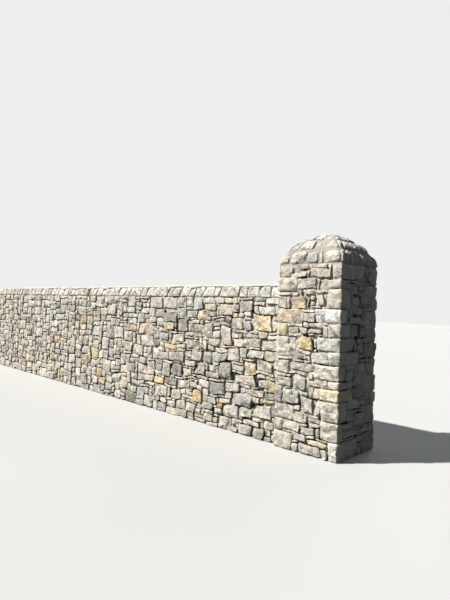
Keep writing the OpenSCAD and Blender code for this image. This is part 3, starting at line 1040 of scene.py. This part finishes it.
def pushOut(vertex, share, tilt, look, spot):
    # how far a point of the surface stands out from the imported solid
    rise = 1
    for axis in range(3):
        if abs(vertex.normal[axis]) < 0.5:
            rise *= 1 - (2 * share[axis]) ** 4
    push = look["rough"] * layered(spot, look["noises"])
    push += rise * (look["facet"] * splitFace(spot, look["facetSize"]) + look["bulge"])
    if abs(vertex.normal.z) < 0.6:
        push += look["proud"] + share.dot(tilt)
    else:
        push *= look["topRelief"]
    return holdBack(push, heldBack["solids"])


def paintedShading(vertex, look):
    # painted shade: darker where a face looks up, and on the sides in the upright joints, but not on the
    # outer face of the far end
    grey = 1 - look["paintedSkyShade"] * max(0, vertex.normal.z) ** 2
    if vertex.co.x > wallLeft + 3 * cm:
        # painted shade on sides that face along the wall, into the joints
        grey -= look["paintedJointShade"] * max(0, 2 * abs(vertex.normal.x) - 1)
    return grey


def leanShare(x, look):
    # the further from the pier, the more a coping stone leans, but for the one at the far end
    lean = look["lean"] * min(1, max(look["leastLean"], (pierLeft - x) / look["leanRun"]))
    return lean * min(1, max(0, (x - wallLeft) / look["leanEase"]))


def roughenStone(solid, layers, toneName, look, dice):
    tone, shift = layers
    colour = tintedTone(toneName, dice, look["shade"])
    away = randomShift(dice)
    nudge = Vector([dice.uniform(-1, 1) * look["loose"] for _ in range(3)])
    nudge.z *= look["looseUp"]
    least, most = extent(solid)
    size = most - least
    tilt = Vector([dice.uniform(-1, 1) * look["tilt"] for _ in range(3)])
    for vertex in solid:
        spot = vertex.co + away
        share = Vector([(vertex.co[axis] - least[axis]) / size[axis] - 0.5 for axis in range(3)])
        push = pushOut(vertex, share, tilt, look, spot)
        sway = noise.noise_vector(spot * look["swingWaves"]) * look["swing"]
        sway.z *= look["swingUp"]
        grey = paintedShading(vertex, look)
        vertex[tone] = (colour[0] * grey, colour[1] * grey, colour[2] * grey, colour[3])
        vertex[shift] = away
        place = vertex.co + vertex.normal * push + sway + nudge
        place -= Vector((2 * share.x * look["shrinkX"], 0, 2 * share.z * look["shrinkZ"]))
        narrowing = share.x * size.x * look["narrow"] * (share.z + 0.5)
        place.x += leanShare(place.x, look) * share.z * size.z - narrowing
        place.z -= 2 * max(0, share.z) * look["top"]
        place.z = max(mm, place.z)
        vertex.co = place


def roughStones(node, look, pickColour, dice):
    bm, layers = cutStones(node, look)
    solids = looseSolids(bm)
    solids.sort(key=lambda solid: (round(sum(vertex.co.z for vertex in solid) / len(solid), 2),
                                   sum(vertex.co.x for vertex in solid) / len(solid)))
    for index, solid in enumerate(solids):
        roughenStone(solid, layers, pickColour(index, dice), look, dice)
    bmesh.ops.triangulate(bm, faces=[face for face in bm.faces if len(face.verts) > 4])
    piece = finishPiece(node + "_stones", [storeMesh(bm)], stoneMaterial)
    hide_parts(node)


# The stones of the front corners from the ground up, as the photograph shows them
frontRightTones = ["white", "warm", "cream", "honey", "pale", "cream", "green", "pale", "pale", "bright",
                   "pale", "pale", "cream"]
frontLeftTones = ["grey", "cream", "pale", "grey", "grey", "pale", "pale", "cream", "pale", "honey",
                  "russet", "grey", "cream", "pale", "pink"]


def fromList(tones):
    return lambda index, dice: tones[index % len(tones)]


def fromMix(mix):
    return lambda index, dice: pickTone(mix, dice)


dice = random.Random(407)
quoinColours = {
    "pier_quoins_front_right": fromList(frontRightTones),
    "pier_quoins_front_left": fromList(frontLeftTones),
    "pier_quoins_back_right": fromMix(quoinMix),
    "pier_quoins_back_left": fromMix(quoinMix),
    "end_quoins_front": fromMix(quoinMix),
    "end_quoins_back": fromMix(quoinMix),
}
for node, colours in quoinColours.items():
    roughStones(node, quoinLook, colours, dice)
for bay in bays:
    roughStones("coping_bay_%d" % bay, copingLook, fromMix(copingMix), dice)
print("corner and coping stones dressed")


# Dome: stones laid round four curved faces, and a crown set out in plan

dome = {
    "half": pierSpan / 2,
    "rise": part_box("dome_capstone")[1].z - pierTop,
    "fullness": 1.8,      # of the curve up each face, where 2 is an ellipse
    "hip": 0.25,          # how fast the hips round off towards the top
    "arc": 0.60,          # about the length of the curve, springing to crown
    "topmost": 0.97,      # how far up the curve it is followed
    "square": 4,          # of the crown in plan, where 2 is a circle
    "crownReach": 0.9,
    "step": 4 * mm,       # over which the slope is measured
    "setBack": 9 * mm,    # of the lowest stones, to the line of the pier
    "setBackRise": 0.1,
    "centre": Vector(((pierLeft + pierRight) / 2, 0, pierTop)),
}
dome["around"] = 8 * dome["half"]
# shade 0.9 is a painted shade: the dome's stones are darkened because the dome faces up into the key lamp
domeStone = dict(pierLook, cell=15 * mm, bulge=10 * mm, proud=(-5 * mm, 2 * mm), tilt=4 * mm,
                 facet=10 * mm, corner=(22 * mm, 58 * mm), sink=40 * mm, strip=6 * mm, drop=8 * mm,
                 taper=0.85, jut=(2 * mm, 8 * mm), shade=0.9)


def domeSurface(along, high):
    side, share = divmod(along / (2 * dome["half"]), 1)
    level = min(dome["topmost"], max(0.0, high / dome["arc"]))
    angle = level * math.pi / 2
    half = dome["half"] * math.cos(angle) ** (2 / dome["fullness"])
    rise = dome["rise"] * math.sin(angle) ** (2 / dome["fullness"])
    across = 2 * share - 1
    power = 1 / max(0.01, dome["hip"] * level)
    half /= (abs(across) ** power + 1) ** (1 / power)
    flat = Matrix.Rotation(side * math.pi / 2, 3, "Z") @ Vector((across * half, -half, rise))
    return flat + dome["centre"]


def domeSpot(face, along, high, depth):
    step = dome["step"]
    acrossWay = domeSurface(along + step, high) - domeSurface(along - step, high)
    upWay = domeSurface(along, high + step) - domeSurface(along, max(0, high - step))
    depth -= dome["setBack"] * max(0, 1 - high / dome["setBackRise"])
    return domeSurface(along, high) + acrossWay.cross(upWay).normalized() * depth


def crownSurface(x, y):
    square = dome["square"]
    reach = min(dome["crownReach"], (abs(x) ** square + abs(y) ** square) ** (1 / square) / dome["half"])
    height = dome["rise"] * (1 - reach ** dome["fullness"]) ** (1 / dome["fullness"])
    return dome["centre"] + Vector((x, y, height))


def crownSpot(face, along, high, depth):
    step = dome["step"]
    slopeX = crownSurface(along + step, high) - crownSurface(along - step, high)
    slopeY = crownSurface(along, high + step) - crownSurface(along, high - step)
    return crownSurface(along, high) + slopeX.cross(slopeY).normalized() * depth


def bedLevel(node, corner):
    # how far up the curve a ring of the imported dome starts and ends
    share = (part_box(node)[corner].z - pierTop) / dome["rise"]
    return math.asin(min(1, max(0, share)) ** (dome["fullness"] / 2)) / (math.pi / 2) * dome["arc"]


ringLook = {"firstGap": 20 * mm, "gap": 14 * mm, "lastGap": 12 * mm, "longest": 0.22, "shortest": 0.09,
            "leastRoom": 0.06, "bed": (3, 9), "slant": 8 * mm}


def ringStones(node, row, dice):
    # stones round one ring, listed on the front and the end, then on with uneven lengths
    low = bedLevel(node, 0)
    high = bedLevel(node, 1)
    entries = list(row)
    place = row[-1][1] * cm + ringLook["firstGap"]
    while place < dome["around"] - ringLook["leastRoom"]:
        length = dice.uniform(ringLook["shortest"], ringLook["longest"])
        if dome["around"] - place - length < ringLook["shortest"]:
            length = dome["around"] - place - ringLook["lastGap"]
        entries.append((place / cm, (place + length) / cm, pickTone(domeMix, dice)))
        place += length + ringLook["gap"]
    stones = []
    for left, right, toneName in entries:
        bottom = low + dice.uniform(*ringLook["bed"]) * mm
        top = high - dice.uniform(*ringLook["bed"]) * mm
        slants = [dice.uniform(-1, 1) * ringLook["slant"] for _ in range(2)]
        stones.append((left * cm, right * cm, bottom, top, toneName, *slants))
    return stones


# Left and right along the foot of the dome from the pier's front left corner, in centimetres
ringRows = {
    "dome_ring_lower": [
        (2, 12, "pale"), (14, 35, "white"), (37, 51, "ash"), (53, 57, "chalk"), (59, 79, "white"),
        (81, 87, "chalk"), (88, 96, "ash"), (98, 107, "chalk"), (109, 118, "ash"), (120, 132, "ash"),
        (134, 150, "pale"), (152, 165, "chalk"),
    ],
    "dome_ring_middle": [
        (3, 17, "ash"), (19, 41, "pale"), (43, 53, "ash"), (55, 79, "cream"), (81, 88, "chalk"),
        (90, 97, "white"), (99, 108, "chalk"), (110, 117, "white"), (119, 128, "chalk"), (130, 143, "pale"),
        (145, 158, "chalk"),
    ],
    "dome_ring_upper": [
        (5, 30, "ash"), (33, 50, "chalk"), (53, 77, "chalk"), (82, 104, "white"), (108, 122, "chalk"),
        (126, 152, "pale"),
    ],
}

# Left, right, front and back from the middle of the dome, in centimetres
crownRows = [
    (-19, -7, -18, -4, "chalk"), (-6, 7, -19, -8, "white"), (8, 18, -17, -3, "pale"),
    (-19, -9, -3, 8, "pale"), (-8, 5, -7, 7, "white"), (6, 19, -2, 9, "chalk"),
    (-17, -5, 9, 18, "ash"), (-4, 8, 8, 19, "pale"), (9, 17, 10, 18, "chalk"),
]
domeFace = {"spot": domeSpot}
crownFace = {"spot": crownSpot}
dice = random.Random(88)
for node, row in ringRows.items():
    meshes = stoneMeshes(domeFace, ringStones(node, row, dice), domeStone, dice)
    piece = finishPiece(node + "_stones", meshes, stoneMaterial)
    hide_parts(node)
meshes = stoneMeshes(crownFace, scheduled(crownRows), domeStone, dice)
piece = finishPiece("dome_capstone_stones", meshes, stoneMaterial)
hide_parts("dome_capstone")

domePointing = {"cell": 16 * mm, "deep": 7 * mm, "waves": ((13, 8 * mm), (34, 4 * mm)), "fill": 0.39,
                "reach": 0.95}


def pointDome(look):
    # a shell of mortar close under the faces of the dome's stones
    bm = bmesh.new()
    tone, _ = stoneLayers(bm)
    bmesh.ops.create_grid(bm, x_segments=round(dome["around"] / look["cell"]),
                          y_segments=round(dome["arc"] / look["cell"]), size=0.5)
    for vertex in bm.verts:
        along = (vertex.co.x + 0.5) * dome["around"]
        high = (vertex.co.y + 0.5) * dome["arc"] * look["reach"]
        depth = look["deep"] + layered(domeSurface(along, high), look["waves"])
        vertex.co = domeSpot(domeFace, along, high, -depth)
        # the fill only sets the painted shade of this shell, a little darker than flush mortar
        vertex[tone] = (look["fill"], look["fill"], look["fill"], 1)
    bmesh.ops.remove_doubles(bm, verts=bm.verts[:], dist=1 * mm)
    # the crown is closed first, then the foot
    for lowest in (pierTop + dome["rise"] / 2, 0):
        rim = [edge for edge in bm.edges if edge.is_boundary]
        bmesh.ops.contextual_create(bm, geom=[edge for edge in rim if extent(edge.verts)[0].z > lowest])
    return finishPiece("pointing_dome", [storeMesh(bm)], paleMortar)


pointDome(domePointing)
print("dome laid")


# Pointing: a sheet of mortar over each face, nearly flush in places and raked deep in others

pointing = {
    "deep": 24 * mm,
    "flush": 3 * mm,
    "back": 27 * mm,
    "inset": 11 * mm,            # a sheet ends just inside the one round the corner
    "arris": 9 * mm,             # and there the two meet in one arris
    "arrisWidth": 30 * mm,
    "arrisShare": 0.6,
    "rise": 0.16,                # raked out towards the ground, filled towards the top
    "patches": ((5.5, 0.7), (17, 0.6)),
    "topFill": 0.45,             # the bed under the coping or the dome is nearly full
    "topWidth": 60 * mm,
    "cornerFill": 0.6,           # beside a corner the joints are never quite full
    "cornerWidth": 70 * mm,
    "cornerEase": 1.4,
    "grit": ((60, 1.5 * mm),),
}


def jointFill(face, place, share, fromTop, beside):
    # 0 where a joint is raked right out, 1 where it is flush
    fill = face["fill"] + pointing["rise"] * (share - 0.5) + layered(place, pointing["patches"])
    fill += pointing["topFill"] * max(0, 1 - fromTop / pointing["topWidth"])
    atCorner = pointing["cornerFill"] * min(1, pointing["cornerEase"] - beside / pointing["cornerWidth"])
    return min(1, max(0, fill, atCorner))


def pointFace(name, face, cell):
    start = face["start"] + pointing["inset"]
    end = face["end"] - pointing["inset"]
    base = face["base"]
    height = face["top"] - base
    across = max(2, round((end - start) / cell))
    rows = max(2, round(height / cell))
    bm = bmesh.new()
    tone, _ = stoneLayers(bm)
    bmesh.ops.create_grid(bm, x_segments=across, y_segments=rows, size=0.5)
    rim = [edge for edge in bm.edges if len(edge.link_faces) == 1]
    for vertex in bm.verts:
        along = start + (vertex.co.x + 0.5) * (end - start)
        high = base + (vertex.co.y + 0.5) * height
        place = face["corner"] + face["along"] * along + up * high
        beside = min(along - start, end - along)
        fill = jointFill(face, place, (high - base) / height, face["top"] - high, beside)
        depth = pointing["deep"] + (pointing["flush"] - pointing["deep"]) * fill * fill
        depth += layered(place, pointing["grit"])
        if beside < pointing["arrisWidth"]:
            depth = max(pointing["arris"], pointing["arrisShare"] * depth)
        vertex.co = place - face["out"] * depth
        # the fill share also sets the painted shade of this mortar
        vertex[tone] = (fill, fill, fill, 1)
    made = bmesh.ops.extrude_edge_only(bm, edges=rim)["geom"]
    for item in made:
        if isinstance(item, bmesh.types.BMVert):
            depth = (item.co - face["corner"]).dot(face["out"])
            item.co -= face["out"] * (depth + pointing["back"])
    backEdges = [item for item in made if isinstance(item, bmesh.types.BMEdge) and len(item.link_faces) == 1]
    bmesh.ops.contextual_create(bm, geom=backEdges)
    return finishPiece("pointing_" + name, [storeMesh(bm)], mortar)


for face, name, cell in (("pierFront", "pier_front", 15 * mm), ("pierEnd", "pier_end", 15 * mm),
                         ("pierBack", "pier_back", 24 * mm), ("pierLeft", "pier_left", 24 * mm),
                         ("wallFront", "wall_front", 21 * mm), ("wallBack", "wall_back", 34 * mm),
                         ("wallEnd", "wall_end", 26 * mm)):
    pointFace(name, faces[face], cell)

# Bedding between the coping stones, a little below and behind their faces
copingBed = {
    "side": 14 * mm,
    "foot": 10 * mm,             # how far it reaches below the coping
    "below": 3 * mm,
    "cell": 22 * mm,
    "round": 14 * mm,
    "swell": ((5, 12 * mm), (14, 8 * mm), (33, 3 * mm)),
    "band": 62 * mm,             # how far it laps over the faces of the stones
    "bandNoises": ((8, 0.5),),
    "bandEdge": 35 * mm,
    "lip": 26 * mm,
    "lipSwell": ((19, 12 * mm),),
    "hollow": 27 * mm,           # along the middle it stays below the tops of the stones
    "rim": (0.23, 0.30),
    "hollowFrom": 20 * mm,
    "fill": 0.6,
    "paintedUpwardShade": -0.18,            # painted shade: darker where it faces up, and below the band
    "paintedLowShade": -0.22,
}


def bedCoping(look):
    start = wallLeft + look["side"]
    half = wallFace - look["side"]
    low = wallTop - look["foot"]
    high = copeTop - look["below"]
    bm = bmesh.new()
    tone, _ = stoneLayers(bm)
    bmesh.ops.create_cube(bm, size=1)
    size = Matrix.Diagonal((pierLeft - start, 2 * half, high - low)).to_4x4()
    centre = Matrix.Translation(((start + pierLeft) / 2, 0, (low + high) / 2))
    bmesh.ops.transform(bm, matrix=centre @ size, verts=bm.verts[:])
    topEdges = [edge for edge in bm.edges if extent(edge.verts)[0].z > high - mm]
    bmesh.ops.bevel(bm, geom=topEdges, offset=look["round"], affect="EDGES", segments=3,
                    profile=0.5, material=-1)
    for direction, reach, cell in ((Vector((1, 0, 0)), pierLeft - start, look["cell"]),
                                   (Vector((0, 1, 0)), 2 * half, look["cell"] * 2),
                                   (Vector((0, 0, 1)), high - low, look["cell"])):
        count = round(reach / cell)
        for step in range(1, count):
            cutAcross(bm, Vector((start, -half, low)) + direction * reach * step / count, direction)
    bm.normal_update()
    inner, outer = look["rim"]
    for vertex in bm.verts:
        # the band reaches further down in some places than in others
        band = look["band"] * (1 + layered(vertex.co, look["bandNoises"]))
        over = min(1, max(0, (vertex.co.z - high + band) / look["bandEdge"]))
        # painted shade: mortar that faces up is darkened, and so is the mortar in the joints below the band
        sky = min(1, 2 * max(0, vertex.normal.z) ** 2)
        fill = look["fill"] + look["paintedUpwardShade"] * sky + look["paintedLowShade"] * (1 - over)
        vertex[tone] = (fill, fill, fill, 1)
        swell = layered(vertex.co, look["swell"])
        swell += over * (1 - abs(vertex.normal.z)) * (look["lip"] + layered(vertex.co, look["lipSwell"]))
        if vertex.co.z > low + mm:
            vertex.co += vertex.normal * swell
        if vertex.co.z > high - look["hollowFrom"]:
            middle = min(1, max(0, (outer - abs(vertex.co.y)) / (outer - inner)))
            vertex.co.z -= middle * look["hollow"]
    return finishPiece("coping_bedding", [storeMesh(bm)], paleMortar)


bedCoping(copingBed)
print("pointing done,", sum(triangleCounts), "triangles added in all")


# Camera, at the photograph's place: metres, radians and millimetres

eye = {
    "place": (7.580, -4.567, 1.560),
    "yaw": -0.7675,
    "pitch": 0.0143,
    "roll": 0.031,
    "lens": 27.40,
    "sensor": 36,
    "clip": (0.05, 200),
}


def placeCamera(look):
    yaw = look["yaw"]
    pitch = look["pitch"]
    roll = look["roll"]
    ahead = Vector((math.sin(yaw) * math.cos(pitch), math.cos(yaw) * math.cos(pitch), math.sin(pitch)))
    level = Vector((math.cos(yaw), -math.sin(yaw), 0))
    above = level.cross(ahead)
    right = level * math.cos(roll) + above * math.sin(roll)
    above = above * math.cos(roll) - level * math.sin(roll)
    data = bpy.data.cameras.new("camera")
    data.lens = look["lens"]
    data.sensor_width = look["sensor"]
    data.clip_start, data.clip_end = look["clip"]
    camera = bpy.data.objects.new("camera", data)
    bpy.context.scene.collection.objects.link(camera)
    turn = Matrix((right, above, -ahead)).transposed()
    camera.matrix_world = Matrix.Translation(look["place"]) @ turn.to_4x4()
    bpy.context.scene.camera = camera


placeCamera(eye)

# Studio: a pale floor, one key lamp, a weak fill and a pale surround

studio = {
    "floor": linear(190, 190, 189),
    "floorBounce": linear(58, 64, 72),
    "floorRough": 0.9,
    "surround": (0.86, 0.86, 0.86),
    "sky": (0.76, 0.88, 1.0),
    "skyStrength": 0.05,
    "reach": 60,
}
lamps = {
    "key": {"from": (-0.43, -0.53, 0.73), "strength": 6.4, "softness": 1.5, "colour": (1.0, 0.985, 0.945)},
    "fill": {"from": (-0.15, 0.85, 0.5), "strength": 0.9, "softness": 40, "colour": (0.92, 0.96, 1.0)},
}


def addSun(name, look):
    data = bpy.data.lights.new(name, "SUN")
    data.energy = look["strength"]
    data.angle = math.radians(look["softness"])
    data.color = look["colour"]
    lamp = bpy.data.objects.new(name, data)
    lamp.rotation_euler = (-Vector(look["from"])).to_track_quat("-Z", "Y").to_euler()
    bpy.context.scene.collection.objects.link(lamp)


def layFloor(look):
    bm = bmesh.new()
    bmesh.ops.create_grid(bm, x_segments=2, y_segments=2, size=look["reach"])
    mesh = bpy.data.meshes.new("floor")
    bm.to_mesh(mesh)
    bm.free()
    floor = bpy.data.objects.new("floor", mesh)
    bpy.context.scene.collection.objects.link(floor)
    # the floor looks pale, but throws less light up at the stones than a white one would
    material, tree, shader = newMaterial("floor_paint")
    path = addNode(tree, "ShaderNodeLightPath")
    seen = mixNode(tree, "MIX", path.outputs["Is Camera Ray"], look["floorBounce"], look["floor"])
    tree.links.new(seen, shader.inputs["Base Color"])
    shader.inputs["Roughness"].default_value = look["floorRough"]
    mesh.materials.append(material)


def background(tree, colour, strength=1.0):
    node = addNode(tree, "ShaderNodeBackground")
    node.inputs["Color"].default_value = (*colour, 1)
    node.inputs["Strength"].default_value = strength
    return node.outputs[0]


def lightWorld(look):
    # a dim sky gives the light, and the camera and reflections see a pale surround
    world = bpy.data.worlds.new("surround")
    bpy.context.scene.world = world
    world.use_nodes = True
    tree = world.node_tree
    tree.nodes.clear()
    path = addNode(tree, "ShaderNodeLightPath").outputs
    seen = mathNode(tree, "MAXIMUM", path["Is Camera Ray"], path["Is Glossy Ray"])
    seen = mathNode(tree, "MAXIMUM", seen, path["Is Transmission Ray"])
    mixer = addNode(tree, "ShaderNodeMixShader")
    sky = background(tree, look["sky"], look["skyStrength"])
    fillSockets(tree, mixer, (seen, sky, background(tree, look["surround"])))
    output = addNode(tree, "ShaderNodeOutputWorld")
    tree.links.new(mixer.outputs[0], output.inputs["Surface"])


layFloor(studio)
for name, look in lamps.items():
    addSun(name, look)
lightWorld(studio)
bpy.context.scene.view_settings.view_transform = "Standard"
print("camera and studio ready")
